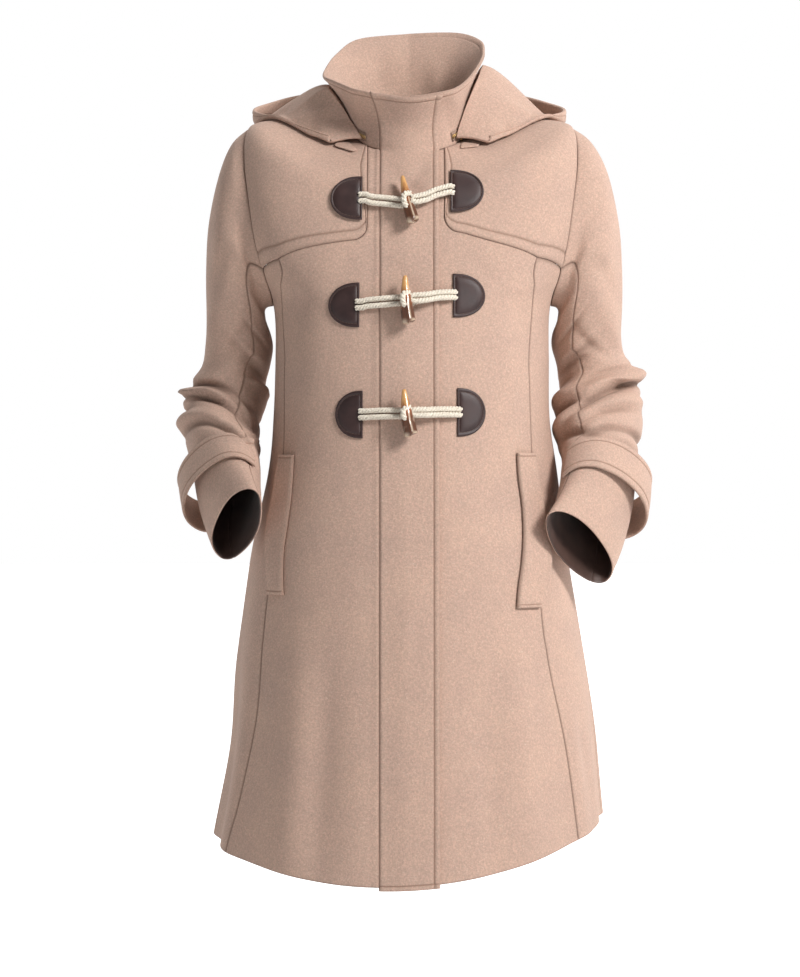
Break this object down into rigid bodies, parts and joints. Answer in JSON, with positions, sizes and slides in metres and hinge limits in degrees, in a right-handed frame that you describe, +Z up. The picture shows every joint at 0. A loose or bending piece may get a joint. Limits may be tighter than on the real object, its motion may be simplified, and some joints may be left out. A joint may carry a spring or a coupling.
{
  "type": "duffle coat",
  "caption": "Knee-length hooded wool coat, worn closed: flared body, funnel collar, hood down, shoulder yokes, toggles on cotton cords, slanted pockets, strapped cuffs",
  "frame": {"origin": "middle of the neck between the shoulders, level with the tops of the shoulders", "axes": "+Z up, -Y the coat's front, +X the coat's own left"},
  "size_m": [0.5565, 0.3989, 0.999],
  "materials": {
    "wool": "heathered camel melton wool",
    "leather": "dark brown smooth leather with a stitched edge",
    "cotton": "cream twisted cotton cord",
    "horn": "polished horn, honey to dark brown",
    "brass": "brass zip teeth and slider"
  },
  "bodies": {
    "root": {"front_right": "wool", "front_left": "wool", "side_front_right": "wool", "side_front_left": "wool", "yoke_right": "wool", "yoke_left": "wool", "yoke_back": "wool", "back_right": "wool", "back_left": "wool", "collar": "wool", "placket": "wool", "hood": "wool", "hood_tab_right": "wool", "hood_tab_left": "wool", "sleeve_upper_right": "wool", "sleeve_under_right": "wool", "sleeve_upper_left": "wool", "sleeve_under_left": "wool", "cuff_strap_right": "wool", "cuff_strap_left": "wool", "pocket_welt_right": "wool", "pocket_welt_left": "wool", "patch_right_1": "leather", "patch_left_1": "leather", "patch_right_2": "leather", "patch_left_2": "leather", "patch_right_3": "leather", "patch_left_3": "leather", "loop_cord_1": "cotton", "toggle_cord_1": "cotton", "loop_cord_2": "cotton", "toggle_cord_2": "cotton", "loop_cord_3": "cotton", "toggle_cord_3": "cotton", "toggle_1": "horn", "toggle_2": "horn", "toggle_3": "horn", "zip_tape_right": "brass", "zip_tape_left": "brass", "zip_slider": "brass"}
  },
  "joints": []
}
